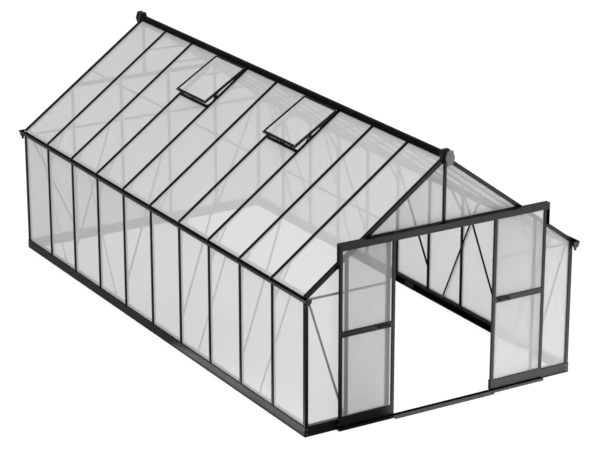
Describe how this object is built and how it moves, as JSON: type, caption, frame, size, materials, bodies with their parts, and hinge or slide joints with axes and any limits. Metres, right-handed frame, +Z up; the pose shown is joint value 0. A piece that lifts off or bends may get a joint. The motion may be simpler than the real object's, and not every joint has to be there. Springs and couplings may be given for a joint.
{
  "type": "polycarbonate greenhouse",
  "caption": "Gabled greenhouse of twin-wall polycarbonate sheets in black aluminium glazing bars, with double sliding doors, four roof windows and gutters.",
  "frame": {"origin": "on the ground at the middle of the base", "axes": "+Z up, -Y out through the sliding doors, +X to the right seen from the doors"},
  "size_m": [3.176, 6.355, 2.6],
  "materials": {
    "frame": "satin black powder coat",
    "polycarbonate": "translucent twin-wall",
    "plastic": "matt"
  },
  "bodies": {
    "greenhouse": {"base_left": "frame", "base_right": "frame", "base_front": "frame", "base_back": "frame", "corner_posts": "frame", "wall_posts": "frame", "eave_beams": "frame", "gutter_floors": "frame", "gutter_fronts": "frame", "gutter_ends": "plastic", "ridge_beam": "frame", "ridge_caps": "plastic", "left_rafters": "frame", "right_rafters": "frame", "verge_rafters": "frame", "gable_studs": "frame", "gable_headers": "frame", "tie_bars": "frame", "collar_ties": "frame", "knee_braces": "frame", "wall_braces": "frame", "gable_braces": "frame", "purlins": "frame", "left_wall_sheets": "polycarbonate", "right_wall_sheets": "polycarbonate", "left_roof_sheets": "polycarbonate", "right_roof_sheets": "polycarbonate", "front_gable_sheets": "polycarbonate", "back_gable_sheets": "polycarbonate", "window_sills": "frame", "window_sashes": "frame", "window_sheets": "polycarbonate", "window_stays": "frame", "door_track": "frame", "track_ends": "frame", "door_guide": "frame", "threshold_ramp": "frame"},
    "left_door": {"left_door_frame": "frame", "left_door_sheets": "polycarbonate", "left_door_handle": "plastic", "left_door_runners": "plastic"},
    "right_door": {"right_door_frame": "frame", "right_door_sheets": "polycarbonate", "right_door_handle": "plastic", "right_door_runners": "plastic"}
  },
  "joints": [
    {"name": "left_door_slide", "type": "slide", "parent": "greenhouse", "child": "left_door", "axis": [1, 0, 0], "range_m": [0, 0.5675]},
    {"name": "right_door_slide", "type": "slide", "parent": "greenhouse", "child": "right_door", "axis": [-1, 0, 0], "range_m": [0, 0.5675]}
  ]
}
